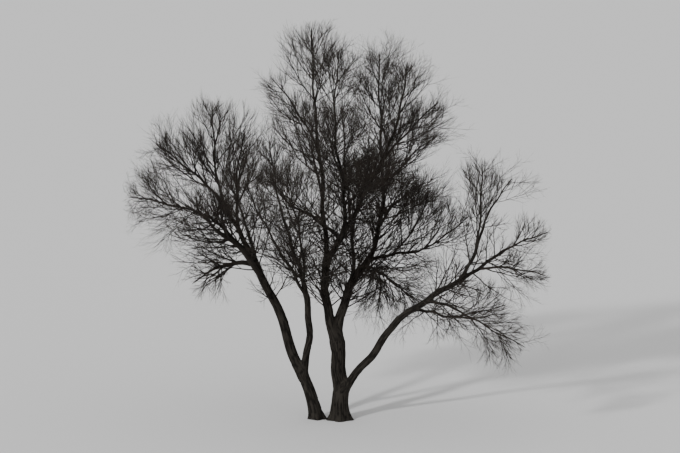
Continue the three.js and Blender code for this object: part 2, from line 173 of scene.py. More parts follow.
MASSES = [
    mass("twigs_left_far", "left_crown", "left_branch", 1, (-3.13, -0.48, 3.45), 0.82),
    mass("twigs_left_high", "left_crown", "left_leader", 1, (-2.77, 0.48, 4.12), 0.82),
    mass("twigs_left_top", "left_crown", "left_leader", 0.8, (-1.93, 1.12, 4.68), 0.82),
    mass("twigs_left_crest", "left_crown", "left_leader", 0.45, (-1.41, 0.16, 4.37), 0.69),
    mass("twigs_left_rear", "left_crown", "left_rear", 1, (-1.97, 2.16, 3.77), 0.93),
    mass("twigs_left_front", "left_crown", "left_stem", 0.88, (-2.29, -1.76, 3.51), 0.93),
    mass("twigs_left_low", "left_crown", "left_stem", 0.95, (-2.21, -0.2, 2.09), 0.62),
    mass("twigs_inner_left", "inner_crown", "inner_left", 1, (-1.37, -1.44, 3.79), 0.76),
    mass("twigs_inner_riser", "inner_crown", "inner_riser", 1, (-1.05, -0.16, 4.26), 0.65),
    mass("twigs_inner_front", "inner_crown", "inner_front", 1, (-0.77, -2.08, 4.04), 0.82),
    mass("twigs_crossing", "inner_crown", "crossing_bough", 1, (-1.09, 0.96, 3.7), 0.65),
    mass("twigs_upper_left", "top_crown", "back_riser", 0.9, (-1.05, 0.8, 5.09), 0.62),
    mass("twigs_top", "top_crown", "back_riser", 1, (-0.42, 0.32, 5.9), 0.76),
    mass("twigs_back_left", "inner_crown", "back_riser", 0.55, (-0.69, 1.92, 4.37), 0.82),
    mass("twigs_centre_top", "top_crown", "front_riser", 1, (-0.01, -0.64, 5.66), 0.76),
    mass("twigs_front_top", "top_crown", "front_riser", 0.65, (-0.37, -1.76, 4.8), 0.82),
    mass("twigs_leading_top", "top_crown", "leading_bough", 1, (0.99, -0.48, 5.43), 0.69),
    mass("twigs_leading_right", "right_crown", "leading_bough", 0.75, (1.46, -0.8, 4.91), 0.69),
    mass("twigs_front_right", "right_crown", "leading_bough", 0.35, (0.51, -1.92, 3.86), 0.93),
    mass("twigs_crown_top", "top_crown", "crown_riser", 1, (0.58, 0.56, 5.49), 0.76),
    mass("twigs_crown_right", "right_crown", "crown_riser", 0.7, (1.5, 1.12, 4.16), 0.76),
    mass("twigs_rear_right", "right_crown", "crown_riser", 0.35, (1.34, 1.76, 3.34), 0.82),
    mass("twigs_rear_top", "inner_crown", "rear_bough", 1, (0.03, 1.92, 4.53), 0.87),
    mass("twigs_rear", "inner_crown", "rear_bough", 0.7, (0.51, 2.4, 3.74), 0.87),
    mass("twigs_level_up", "right_crown", "level_bough", 0.5, (1.31, -0.48, 3.53), 0.62),
    mass("twigs_level_out", "right_crown", "level_bough", 1, (1.95, 0.32, 3.06), 0.64),
    mass("twigs_hanging", "right_crown", "hanging_bough", 1, (1.27, 1.36, 1.5), 0.58),
    mass("twigs_hanging_inner", "right_crown", "hanging_bough", 0.5, (0.55, 0.64, 1.48), 0.47),
    mass("twigs_riser_right", "outer_crown", "right_riser", 1, (2.55, -0.4, 3.72), 0.49),
    mass("twigs_riser_left", "outer_crown", "right_riser", 0.5, (2.11, 0, 3.9), 0.55),
    mass("twigs_right_far", "outer_crown", "right_tip", 1, (3.07, -0.72, 2.96), 0.53),
    mass("twigs_right_level", "outer_crown", "right_tip", 0.4, (3.03, -1.12, 2.37), 0.49),
    mass("twigs_right_droop", "outer_crown", "right_droop", 1, (2.71, -1.52, 1.38), 0.58),
    mass("twigs_right_under", "outer_crown", "right_underarm", 1, (2.51, 0.48, 1.66), 0.62),
]


def order(count, least, span, lean, length, thick, radii, shortest, room, extra, sides, steps):
    """One order of side twigs: how many a twig has over the span of its length, and at least, their lean in
    degrees, their length and thickness as shares of its own, their radii's limits and the shortest that is
    kept. room is how much of their space's room they take where they would run out of it, and extra how far
    they may run on out of it. sides and steps are their mesh's fineness."""
    return SimpleNamespace(
        count=count, least=least, span=span, lean=lean, length=length, thick=thick, radii=radii,
        shortest=shortest, room=room, extra=extra, sides=sides, steps=steps,
    )


ORDERS = [
    order(13, 10, (0.1, 0.94), (24, 52), (0.5, 0.95), 0.62, (0.004, 0.016), 0.12, (0.65, 1), 0, 5, 5),
    order(8, 4, (0.2, 0.92), (20, 46), (0.45, 0.8), 0.68, (0.004, 0.01), 0.12, (0.65, 1), 0.04, 3, 4),
    order(6, 3, (0.12, 0.95), (14, 38), (0.5, 1), 0.68, (0.0024, 0.005), 0.07, (0.4, 1), 0.12, 3, 2),
    order(4, 3, (0.12, 0.95), (12, 34), (0.45, 0.9), 0.7, (0.0016, 0.003), 0.05, (0.4, 1), 0.18, 3, 1),
]
# Twigs run this many times as far on into the space beside theirs as into the open, so that masses mingle
MINGLING = 2.5
# A mass whose stem is this long has those counts of twigs, and a shorter one fewer, down to this share
FULL_STEM = 1.4
SMALLEST = 0.5
# Masses that come straight to the front or go straight back have only these shares of the finer twigs
THINNED = {
    "twigs_front_right": 0.7, "twigs_rear_right": 0.8, "twigs_left_front": 0.9, "twigs_front_top": 0.8,
    "twigs_back_left": 0.8,
}
# Boughs carry shoots of their own: from what share of their length on, and how many for each metre of it
SHOOTS = {
    "trunk": (1, 0), "right_bough": (1, 0), "left_stem": (0.7, 16), "middle_stem": (0.85, 22),
    "left_fork": (0.4, 36), "right_fork": (0.35, 38), "centre_bough": (0, 30), "rear_bough": (0.1, 22),
    "level_bough": (0, 40), "hanging_bough": (0, 52), "right_arm": (0.4, 16), "crossing_bough": (0.1, 22),
    "left_leader": (0.5, 16), "left_rear": (0.2, 11), "left_branch": (0.3, 30), "leading_bough": (0, 32),
    "crown_riser": (0, 26), "front_riser": (0.2, 22), "back_riser": (0.2, 12),
}
USUAL_SHOOTS = (0.2, 17)
# The stems of the masses carry shoots too, so many for each metre
MASS_SHOOTS = {
    "twigs_left_far": 22, "twigs_left_high": 14, "twigs_left_top": 2, "twigs_left_crest": 2,
    "twigs_left_rear": 2, "twigs_left_front": 2, "twigs_centre_top": 16, "twigs_leading_top": 14,
    "twigs_crown_top": 20, "twigs_leading_right": 8, "twigs_level_out": 8, "twigs_hanging": 14,
    "twigs_hanging_inner": 14,
}
USUAL_MASS_SHOOTS = 5
# A shoot leans out by so many degrees, is this long and thick, and stays in a space this wide, which goes on
# past the tip of what bears it. It rises less than a mass's twigs do, and has fewer twigs of its own
SHOOT_LEAN = (28, 70)
SHOOT_LENGTHS = (0.4, 1.1)
SHOOT_THICK = 0.4
SHOOT_RADII = (0.004, 0.012)
SHOOTS_END = 0.97
SHOOT_REACH = 0.95
SHOOT_REACH_ON = 0.3
SHOOT_LIFT_SHARE = 0.3
SHOOT_FULLNESS = 0.75
# The pieces that the shoots are joined into, with the boughs that bear them
SHOOT_PIECES = {
    "left_shoots": ("left_stem", "left_branch", "left_leader", "left_rear"),
    "inner_shoots": (
        "middle_stem", "inner_left", "inner_riser", "inner_front", "crossing_bough", "rear_bough",
    ),
    "top_shoots": ("left_fork", "centre_bough", "back_riser", "leading_bough", "front_riser", "crown_riser"),
    "right_shoots": (
        "right_fork", "level_bough", "hanging_bough", "right_arm", "right_tip", "right_riser", "right_droop",
        "right_underarm",
    ),
}
# From one side twig to the next, as a share of the span and of a full turn round it, so that however many
# there are, they stand evenly apart
SPACING = 0.7549
TURNING = 0.5698
# Side twigs are shorter towards the tip of what they grow on
TIP_SHORTENING = 0.3
# Their ends rise in a mass that rises, and less in one that lies level, and those of a hanging mass sink
LIFT = 0.35
LEVEL_LIFT_SHARE = 0.4
RISING_LIFT_SHARE = 1.2
LIFT_SHARES = (-0.3, 1)

# The same seeded chances as in the solids: a whole number stands for each twig, and its side twigs' numbers
# follow from its own
WORD = np.uint64(0xFFFFFFFF)
HASH_STEP = 0x9E3779B9
HEIR_STEP = 0x85EBCA6B
FIRST_MASS_KEY = 1000


def mix(number):
    """A whole number's hash of 32 bits, which spreads each of its bits over all of them."""
    x = np.asarray(number).astype(np.uint64) & WORD
    x = ((x ^ (x >> np.uint64(16))) * np.uint64(0x7FEB352D)) & WORD
    x = ((x ^ (x >> np.uint64(15))) * np.uint64(0x846CA68B)) & WORD
    return x ^ (x >> np.uint64(16))


def chance(key, draw):
    """A chance between 0 and 1 that belongs to a key and to the number of the draw."""
    return mix(key + (np.uint64(draw * HASH_STEP) & WORD)) / 2.0**32


def between(ends, share):
    return ends[0] + (ends[1] - ends[0]) * share


def dot(a, b):
    return np.einsum("...i,...i->...", a, b)


def unit(v):
    return v / np.linalg.norm(v, axis=-1, keepdims=True)


def any_across(direction):
    """A direction square to each of some directions."""
    axis = np.where(np.abs(direction[..., 2:]) < STEEP, (0.0, 0.0, 1.0), (1.0, 0.0, 0.0))
    return unit(np.cross(axis, direction))


class Growth:
    """Curves, one a row: each leaves foot towards knee, wanders a little on its way to tip, and gets thinner.
    Round each goes a tube of so many steps, straight from ring to ring and in a short cone to the tip."""

    def __init__(self, foot, knee, tip, radii, key, steps):
        self.foot, self.knee, self.tip = foot, knee, tip
        self.radii, self.key = radii, key
        self.steps, self.rings = steps, np.arange(steps) / (steps - 0.5)
        self.length = np.linalg.norm(tip - foot, axis=-1)
        self.phases = chance(key, 1), chance(key, 2)
        axis = unit(tip - foot)
        self.side = any_across(axis)
        self.other_side = np.cross(self.side, axis)

    def __len__(self):
        return len(self.key)

    def point(self, share, rows=slice(None)):
        share = np.broadcast_to(share, self.key[rows].shape)
        t = share[:, None]
        curve = (1 - t) ** 2 * self.foot[rows] + 2 * t * (1 - t) * self.knee[rows] + t**2 * self.tip[rows]
        held = np.sin(pi * share) * self.length[rows] * CROOK_SHARE
        for side, turns, phase in zip((self.side, self.other_side), CROOK_WAVES, self.phases):
            curve = curve + side[rows] * (held * np.sin(2 * pi * (turns * share + phase[rows])))[:, None]
        return curve

    def direction(self, share, rows=slice(None)):
        before = np.maximum(0, np.asarray(share) - DIRECTION_STEP)
        after = np.minimum(1, np.asarray(share) + DIRECTION_STEP)
        return unit(self.point(after, rows) - self.point(before, rows))

    def radius(self, share, rows=slice(None)):
        return between(self.radii[rows].T, share)

    def in_tube(self, share, rows):
        """The middle and the radius of tubes at a share of their length."""
        stops = np.append(self.rings, 1)
        before = np.searchsorted(stops, share, side="right") - 1
        low, high = stops[before], stops[before + 1]
        part = (share - low) / (high - low)
        middle = between((self.point(low, rows), self.point(high, rows)), part[:, None])
        return middle, between((self.radius(low, rows), self.radius(high, rows) * (high < 1)), part)

    def chords(self, count):
        """The ends and the radii of so many straight lines along each curve."""
        ends = [self.point(i / count) for i in range(count + 1)]
        radii = [self.radius(i / count) for i in range(count)]
        return np.concatenate(ends[:-1]), np.concatenate(ends[1:]), np.concatenate(radii)


def single_growth(foot, knee, tip, radii, key):
    """A growth of one curve, that of a limb or of a mass's stem."""
    row = [np.asarray(v, float)[None] for v in (foot, knee, tip, radii)]
    return Growth(*row, np.asarray(key)[None], STEM_STEPS)


def knee_along(foot, leaving, tip):
    """The knee of a curve that leaves its foot in a given direction."""
    return foot + leaving * (np.linalg.norm(tip - foot, axis=-1) * LEAVING_SHARE)[..., None]


def leaving_direction(parent, at, foot, tip, turn):
    """The direction of a parent at a share of its length, turned by a share of the way towards tip."""
    ahead = parent.direction(at)[0]
    return unit(ahead + (unit(tip - foot) - ahead) * turn)


def grow_limb(spec, index, grown):
    parent = grown.get(spec.parent)
    foot = parent.point(spec.at)[0] if parent else np.array(spec.foot, float)
    tip = np.array(spec.tip, float)
    if spec.bow:
        knee = (foot + tip) / 2 + 2 * np.array(spec.bow)
    else:
        knee = knee_along(foot, leaving_direction(parent, spec.at, foot, tip, spec.turn), tip)
    return single_growth(foot, knee, tip, spec.radii, mix(index))


class Space:
    """A mass's space: an ellipsoid about its stem, inside the planes that part it from other spaces."""

    def __init__(self, foot, tip, spread):
        self.axis = unit(tip - foot)
        self.long = np.linalg.norm(tip - foot) * SPACE_HALF
        self.spread = spread
        self.centre = foot + (tip - foot) * SPACE_MIDDLE
        self.planes = []
        self.lift = LIFT * np.clip(LEVEL_LIFT_SHARE + RISING_LIFT_SHARE * self.axis[2], *LIFT_SHARES)

    def far(self):
        """How far from its centre anything may be that its twigs can touch."""
        return max(self.long / SPACE_HALF * SPACE_MIDDLE, self.spread) + FAR_MARGIN

    def part_from(self, other):
        """Put a plane between the space and another, nearer to the narrower of the two."""
        way = other.centre - self.centre
        apart = np.linalg.norm(way)
        share = 0.5 + (self.spread**2 - other.spread**2) / (2 * apart**2)
        self.planes.append((way / apart, apart * share - CLEARANCE))

    def squash(self, v, extra):
        """Vectors on the scale on which the space, grown by extra, is a ball of radius 1."""
        along = v @ self.axis
        across = v - along[:, None] * self.axis
        return across / (self.spread + extra) + (along / (self.long + extra))[:, None] * self.axis

    def room(self, start, direction, extra):
        """How far straight lines run from points in the space, grown by extra, until they leave it. They run
        further into the spaces beside it."""
        begin, way = self.squash(start - self.centre, extra), self.squash(direction, extra)
        a, b, c = dot(way, way), dot(begin, way), dot(begin, begin) - 1
        room = (-b + np.sqrt(np.maximum(0, b * b - a * c))) / a
        room[(c > 0) & (b > 0)] = 0
        planes = [(normal, reach + MINGLING * extra, self.centre) for normal, reach in self.planes]
        for normal, reach, middle in planes + box_planes():
            left = reach - (start - middle) @ normal
            closing = direction @ normal
            room = np.where(closing > 0, np.minimum(room, left / np.maximum(closing, LEAST_LENGTH)), room)
            room[left < 0] = 0
        return room


def box_planes():
    """The sides of the box that all twigs stay in."""
    low, high = np.array(CAD_BOX)
    middle = (low + high) / 2
    half = (high - low) / 2 + BOX_MARGIN
    return [(sign * axis, axis @ half, middle) for axis in np.eye(3) for sign in (-1, 1)]


def touching(chords, obstacles):
    """Which of the chords come within the clearance of any obstacle, by the distance between two segments."""
    (p0, p1, pr), (q0, q1, qr) = chords, obstacles
    u, v = (p1 - p0)[:, None], (q1 - q0)[None]
    w = p0[:, None] - q0[None]
    uu, uv, vv, uw, vw = dot(u, u), dot(u, v), dot(v, v), dot(u, w), dot(v, w)
    free = uu * vv - uv * uv
    crossing = np.clip((uv * vw - vv * uw) / np.maximum(free, LEAST_PRODUCT), 0, 1)
    s = np.where(free > PARALLEL_SHARE * uu * vv, crossing, 0)
    t = np.clip((uv * s + vw) / vv, 0, 1)
    s = np.clip((uv * t - uw) / uu, 0, 1)
    gap = np.linalg.norm(w + u * s[..., None] - v * t[..., None], axis=-1)
    return (gap < pr[:, None] + qr[None] + CLEARANCE).any(axis=1)


def side_twigs(twigs, rule, space, obstacles, size=1, start=0):
    """The side twigs of an order of twigs, without those that lack room or touch a limb. They are numbered
    from start on."""
    count = max(rule.least, round(rule.count * size))
    rows = np.repeat(np.arange(len(twigs)), count)
    number = np.tile(np.arange(start, start + count, dtype=np.uint64), len(twigs))
    heir = ((number + np.uint64(1)) * np.uint64(HEIR_STEP)) & WORD
    key = mix(twigs.key[rows] ^ heir)
    at = between(rule.span, (number * SPACING + chance(twigs.key[rows], 3)) % 1)
    foot, widest = twigs.in_tube(at, rows)
    along = twigs.direction(at, rows)
    lean = np.radians(between(rule.lean, chance(key, 4)))[:, None]
    turn = (2 * pi * (number * TURNING + chance(twigs.key[rows], 5)))[:, None]
    across = any_across(along)
    aside = across * np.cos(turn) + np.cross(along, across) * np.sin(turn)
    leaving = along * np.cos(lean) + aside * np.sin(lean)
    heading = unit(leaving + np.array((0, 0, space.lift)))
    wanted = twigs.length[rows] * between(rule.length, chance(key, 6)) * (1 - TIP_SHORTENING * at)
    room = space.room(foot, heading, rule.extra) * between(rule.room, chance(key, 7))
    length = np.minimum(wanted, room)
    tip = foot + heading * length[:, None]
    radius = np.clip(twigs.radius(at, rows) * rule.thick, *rule.radii)
    radius = np.minimum(radius, widest * FOOT_SHARE)
    radii = np.stack([radius, radius * TWIG_TIP_SHARE], 1)
    long_enough = length >= rule.shortest
    found = [v[long_enough] for v in (foot, knee_along(foot, leaving, tip), tip, radii, key)]
    growth = Growth(*found, rule.steps)
    if not len(growth):
        return growth
    clear = ~touching(growth.chords(TWIG_CHORDS), obstacles).reshape(TWIG_CHORDS, -1).any(axis=0)
    return Growth(*[v[clear] for v in found], rule.steps)


def tubes(growth, sides):
    """Closed tapering tubes along growths, as points and faces: rings of points, and a point at the tip."""
    count, steps = len(growth), growth.steps
    angles = 2 * pi * np.arange(sides) / sides
    across = any_across(growth.direction(0))
    rings = []
    for share in growth.rings:
        along = growth.direction(share)
        across = unit(across - along * dot(across, along)[:, None])
        other = np.cross(across, along)
        radius = growth.radius(share)[:, None, None]
        ring = across[:, None] * np.cos(angles)[:, None] + other[:, None] * np.sin(angles)[:, None]
        rings.append(growth.point(share)[:, None] + ring * radius)
    points = np.concatenate(rings + [growth.point(1.0)[:, None]], axis=1)
    here = np.arange(sides)
    after = (here + 1) % sides
    quads = [np.stack([here, after, after + sides, here + sides], 1) + sides * i for i in range(steps - 1)]
    last = sides * (steps - 1)
    caps = np.stack([here + last, after + last, np.full(sides, sides * steps)], 1)
    start = (np.arange(count) * (sides * steps + 1))[:, None, None]
    quads = (np.concatenate(quads)[None] + start).reshape(-1, 4) if quads else np.zeros((0, 4), int)
    caps = (caps[None] + start).reshape(-1, 3)
    foot = (here[::-1][None] + start[:, 0]).reshape(-1, sides)
    return points.reshape(-1, 3), [quads, caps, foot]


def mesh_object(name, parts, materials):
    """One object of many parts, each a set of points and faces with the number of its material."""
    points, corners, sizes, looks = [], [], [], []
    used = 0
    for part_points, part_faces, look in parts:
        for faces in part_faces:
            corners.append((faces + used).ravel())
            sizes.append(np.full(len(faces), faces.shape[1]))
            looks.append(np.full(len(faces), look))
        points.append(part_points)
        used += len(part_points)
    points, corners = np.concatenate(points), np.concatenate(corners)
    sizes, looks = np.concatenate(sizes), np.concatenate(looks)
    data = bpy.data.meshes.new(name)
    data.vertices.add(len(points))
    data.vertices.foreach_set("co", points.ravel().astype(np.float32))
    data.loops.add(len(corners))
    data.loops.foreach_set("vertex_index", corners.astype(np.int32))
    data.polygons.add(len(sizes))
    data.polygons.foreach_set("loop_start", (np.cumsum(sizes) - sizes).astype(np.int32))
    data.polygons.foreach_set("material_index", looks.astype(np.int32))
    data.polygons.foreach_set("use_smooth", np.ones(len(sizes), bool))
    for material in materials:
        data.materials.append(material)
    data.update(calc_edges=True)
    data.validate()
    piece = bpy.data.objects.new(name, data)
    bpy.context.scene.collection.objects.link(piece)
    return piece


def grow_orders(stem, space, obstacles, fullness):
    """A stem and its orders of twigs, coarse to fine."""
    reach = np.linalg.norm(obstacles[0] - space.centre, axis=1) - space.far()
    near = reach < np.linalg.norm(obstacles[1] - obstacles[0], axis=1)
    obstacles = [v[near] for v in obstacles]
    orders = [stem]
    size = min(1, max(SMALLEST, stem.length[0] / FULL_STEM))
    for rule, scale in zip(ORDERS, (size, size, fullness, fullness)):
        orders.append(side_twigs(orders[-1], rule, space, obstacles, scale))
    return orders


def grow_shoots(growth, first, a_metre, obstacles, start=0):
    """The orders of twigs that grow straight from a bough or a mass's stem, from a share of its length on."""
    length = growth.length[0]
    count = round(a_metre * length * (1 - first))
    if not count:
        return []
    foot, tip = growth.foot[0], growth.tip[0]
    space = Space(foot, tip + unit(tip - foot) * SHOOT_REACH_ON, SHOOT_REACH)
    space.lift *= SHOOT_LIFT_SHARE
    lengths = [limit / length for limit in SHOOT_LENGTHS]
    usual = ORDERS[0]
    shoots = order(
        count, 1, (first, SHOOTS_END), SHOOT_LEAN, lengths, SHOOT_THICK, SHOOT_RADII,
        usual.shortest, usual.room, usual.extra, usual.sides, usual.steps,
    )
    orders = [side_twigs(growth, shoots, space, obstacles, 1, start)]
    for rule in ORDERS[1:]:
        orders.append(side_twigs(orders[-1], rule, space, obstacles, SHOOT_FULLNESS))
    return orders


def smooth(value):
    value = np.clip(value, 0, 1)
    return value * value * (3 - 2 * value)


# Two primes that keep the corners of the noise's grid apart
ROUND_STEP = 7919
ALONG_STEP = 104729


def ripple(u, v, turns, seed):
    """Smooth noise between 0 and 1 over a grid of u and v, which closes on itself after turns of u."""
    cell_u, cell_v = np.floor(u), np.floor(v)
    part_u, part_v = smooth(u - cell_u), smooth(v - cell_v)

    def value(du, dv):
        i = np.mod(cell_u + du, turns)
        return chance(mix(i * ROUND_STEP + (cell_v + dv) * ALONG_STEP + seed), 0)

    low = value(0, 0) * (1 - part_u) + value(1, 0) * part_u
    high = value(0, 1) * (1 - part_u) + value(1, 1) * part_u
    return low * (1 - part_v) + high * part_v


# The bark: plates so wide and long, furrows so deep and lumps so high as shares of the limb's radius
PLATE_WIDTH = 0.024
PLATE_LENGTH = 0.16
FURROW_SHARE = 0.085
FURROW_WIDTH = 0.24
LUMP_SHARE = 0.06
# A limb has so many lumps round it, each so many radii long. Its plates sway along it by this share of their
# length, in waves of so many plates
LUMPS_ROUND = 3
LUMP_LENGTH = 6
SWAY_SHARE = 0.7
SWAY_LENGTH = 3
# Finer plates, this share as long, break the long ones' edges by this share
FINE_LENGTH = 0.4
FINE_SHARE = 0.3


def bark_relief(angle, along, radius, seed):
    """How deep a furrow is at places on a limb, from 0 to 1, and how far the bark stands off the limb's
    surface: long plates parted by furrows, on a slightly lumpy limb."""
    turns = max(LUMPS_ROUND, round(2 * pi * radius.mean() / PLATE_WIDTH))
    part = angle / (2 * pi)
    sway = ripple(part * LUMPS_ROUND, along / (SWAY_LENGTH * PLATE_LENGTH), LUMPS_ROUND, seed + 3) - 0.5
    plates = ripple(part * turns, along / PLATE_LENGTH + SWAY_SHARE * sway, turns, seed)
    fine = ripple(part * turns * 2, along / (FINE_LENGTH * PLATE_LENGTH), turns * 2, seed + 1)
    lumps = ripple(part * LUMPS_ROUND, along / (LUMP_LENGTH * radius.mean()), LUMPS_ROUND, seed + 2)
    edge = np.abs(2 * between((plates, fine), FINE_SHARE) - 1)
    furrow = np.exp(-((edge / FURROW_WIDTH) ** 2))
    return furrow, radius * (LUMP_SHARE * (lumps - 0.5) - FURROW_SHARE * furrow)


def flare(height, angle):
    """How many times its radius a stem is wide near the ground."""
    low = np.exp(-height / FLARE_HEIGHT)
    return 1 + low * (FLARE_SHARE + FLARE_LOBE_SHARE * np.cos(FLARE_LOBES * angle))


# Limbs that meet grow together: each one's pull falls off over this share of its radius, and their skins
# stand where the pulls add up to 1, though no limb grows wider than this many times its radius
FILLET_SHARE = 0.28
WIDEST = 2.1
# The widths that are tried, the straight lines that stand for a limb, the pull that moves a point, and how
# many times the skin is evened after that
WIDTHS = np.linspace(1, WIDEST, 12)
PULL_CHORDS = 16
LEAST_PULL = 1.001
EVENING_ROUNDS = 4
# A foot inside its parent is sunk by this share of its radius
SINK_SHARE = 0.14
# A stem's rings turn from level at the ground to square with the stem over this height
LEVEL_HEIGHT = 0.35
# A limb's skin ends in a dome of so many steps, the last of which ends in a tip. It stands past the last ring
# by this share of that ring's radius
DOME_STEPS = 5
DOME_TIP_SHARE = 0.3
# Limbs that start thicker than this are the stems and main boughs, with a finer skin than the others: how
# wide and how long its faces are, and the least and most faces round a limb
THICK_LIMB = 0.055
THICK_SKIN_STEPS = (0.0062, 0.0105)
THIN_SKIN_STEPS = (0.0095, 0.017)
SKIN_SIDES = (16, 140)
# From one limb to the next, in the seeds of the relief and in the pattern's place
RELIEF_SEED_STEP = 100
PATTERN_STEP = 5


def pull(points, growth):
    """A limb's pull on points: 1 at its surface, more inside it and less outside."""
    shares = np.linspace(0, 1, PULL_CHORDS + 1)
    rows = np.zeros(len(shares), int)
    line, radii = growth.point(shares, rows), growth.radius(shares, rows)
    way = np.diff(line, axis=0)
    past = points[:, None] - line[:-1]
    t = np.clip(dot(past, way) / dot(way, way), 0, 1)
    radius = radii[:-1] + t * np.diff(radii)
    gap = np.linalg.norm(past - t[..., None] * way, axis=-1) - radius
    return np.exp(-gap / (FILLET_SHARE * radius)).max(axis=1)


def is_thick(spec):
    return spec.radii[0] > THICK_LIMB


def first_of_line(spec):
    """The limb whose line a limb carries on, from end to foot, or the limb itself."""
    while spec.at == 1:
        spec = next(other for other in LIMBS if other.name == spec.parent)
    return spec.name


def grown_radius(centres, ring, radii, spec, limbs):
    """How far a limb's skin stands from its middle, all round, where it grows together with others."""
    kin = [
        other for other in LIMBS if other is not spec
        and (other.parent == spec.name or spec.parent in (other.name, other.parent or ""))
    ]

    def total(width, rows):
        points = (centres[:, None] + ring * (radii * width)[:, None, None]).reshape(-1, 3)[rows]
        lines = {first_of_line(spec): np.exp((1 - width) / FILLET_SHARE) * np.ones(len(points))}
        for other in kin:
            line = first_of_line(other)
            lines[line] = np.maximum(lines.get(line, 0), pull(points, limbs[other.name]))
        return sum(lines.values())

    result = np.ones(ring.shape[0] * ring.shape[1])
    before = total(1, slice(None))
    rows = np.flatnonzero(before > LEAST_PULL)
    before = before[rows]
    for low, high in zip(WIDTHS[:-1], WIDTHS[1:]):
        after = total(high, rows)
        reached = low + (high - low) * (before - 1) / np.maximum(before - after, LEAST_LENGTH)
        result[rows] = np.where(after < 1, reached, high)
        rows, before = rows[after >= 1], after[after >= 1]
    result = result.reshape(ring.shape[:2]) * radii[:, None]
    for _ in range(EVENING_ROUNDS):
        result = (np.roll(result, 1, 1) + result + np.roll(result, -1, 1)) / 3
        result[1:-1] = (result[:-2] + result[1:-1] + result[2:]) / 3
    return result


def sinking(spec, limbs, along):
    """How much a limb's skin is sunk into its parent's at its foot, as a share of its radius."""
    if not spec.parent or spec.at == 1:
        return 0 * along
    return SINK_SHARE * (1 - smooth(along / limbs[spec.parent].radius(spec.at)[0]))


def skin_line(growth, spec, step):
    """The middles of the rings of a limb's skin, their directions, their places along it and their radii, on
    through the dome at its end."""
    count = int(growth.length[0] / step)
    shares = np.arange(count + 1) / count
    rows = np.zeros(count + 1, int)
    centres = growth.point(shares, rows)
    directions = growth.direction(shares, rows)
    along = np.concatenate([[0], np.cumsum(np.linalg.norm(np.diff(centres, axis=0), axis=1))])
    radii = growth.radius(shares, rows)
    if not spec.parent:
        square = smooth(along / LEVEL_HEIGHT)[:, None]
        directions = unit(directions * square + np.array((0, 0, 1)) * (1 - square))
    dome = np.arange(1, DOME_STEPS) / DOME_STEPS * (pi / 2)
    centres = np.concatenate([centres, centres[-1] + directions[-1] * (np.sin(dome) * radii[-1])[:, None]])
    directions = np.concatenate([directions, np.repeat(directions[-1:], len(dome), 0)])
    along = np.concatenate([along, along[-1] + np.sin(dome) * radii[-1]])
    return centres, directions, along, np.concatenate([radii, radii[-1] * np.cos(dome)])


def ways_round(directions, angle):
    """Which way each point of each ring lies from the ring's middle, with no twist from ring to ring."""
    across = any_across(directions[:1])[0]
    frames = []
    for way in directions:
        across = unit(across - way * (across @ way))
        frames.append((across, np.cross(across, way)))
    frames = np.array(frames)
    return frames[:, 0, None] * np.cos(angle)[..., None] + frames[:, 1, None] * np.sin(angle)[..., None]


def skin_faces(rings, around):
    """The faces of a skin of so many rings: quads between them, and triangles to a point at each end."""
    here = np.arange(around)
    after = (here + 1) % around
    quads = [np.stack([here, after, after + around, here + around], 1) + around * i for i in range(rings - 1)]
    last = around * (rings - 1)
    foot = np.stack([after, here, np.full(around, around * rings)], 1)
    tip = np.stack([here + last, after + last, np.full(around, around * rings + 1)], 1)
    return [np.concatenate(quads), foot, tip]


def bark_tube(growth, spec, index, limbs):
    """A limb's barked skin: points, faces, each point's place round and along the limb, and its furrow's
    depth, which the bark's colour turns into painted shade."""
    around_step, along_step = THICK_SKIN_STEPS if is_thick(spec) else THIN_SKIN_STEPS
    around = int(np.clip(2 * pi * spec.radii[0] / around_step, *SKIN_SIDES))
    centres, directions, along, radii = skin_line(growth, spec, along_step)
    angle = np.broadcast_to(2 * pi * np.arange(around) / around, (len(radii), around))
    furrow, relief = bark_relief(angle, along[:, None], radii[:, None], RELIEF_SEED_STEP * index)
    ring = ways_round(directions, angle)
    radius = grown_radius(centres, ring, radii, spec, limbs) - (sinking(spec, limbs, along) * radii)[:, None]
    if not spec.parent:
        radius = radius * flare(centres[:, 2:], angle)
    points = (centres[:, None] + ring * (radius + relief)[..., None]).reshape(-1, 3)
    ends = np.stack([centres[0], centres[-1] + directions[-1] * radii[-1] * DOME_TIP_SHARE])
    place = np.stack([np.cos(angle) * radius, np.sin(angle) * radius, along[:, None] + 0 * angle], -1)
    place = np.concatenate([place.reshape(-1, 3), [(0, 0, 0), (0, 0, along[-1])]])
    place = place + (0, 0, PATTERN_STEP * index)
    depth = np.concatenate([furrow.ravel(), [0, 0]])
    return np.concatenate([points, ends]), skin_faces(len(radii), around), place, depth


# The bark's shades from its furrows, which hold painted shade, to its plates, and the tints of its
# patches, each with its place between the pattern's lowest and highest values
BARK_SHADES = ((0.05, (0.0045, 0.004, 0.0036)), (0.75, (0.036, 0.032, 0.028)))
BARK_TINTS = ((0.35, (0.82, 0.8, 0.78)), (0.7, (1.15, 1.15, 1.1)))
BARK_ROUGHNESS = 0.9
BARK_SHINE = 0.08
# The fine grain, drawn out along the limb, and how far it is sunk, and how far the furrows' painted shade
# darkens the bark
GRAIN_SCALE = 170
GRAIN_DETAIL = 5
GRAIN_ROUGHNESS = 0.7
GRAIN_STRETCH = (1, 1, 0.3)
GRAIN_DEPTH = 0.004
GRAIN_STRENGTH = 0.7
FURROW_PAINTED_SHADE = -0.4
PATCH_SCALE = 6
PATCH_DETAIL = 3
# The colour and the roughness of each kind of wood in the crown. The first of the orders are in older wood
OLDER_WOOD = ((0.026, 0.022, 0.019), 0.85)
YOUNG_WOOD = ((0.036, 0.029, 0.024), 0.75)
TWIG_SHINE = 0.1
OLDER_ORDERS = 2


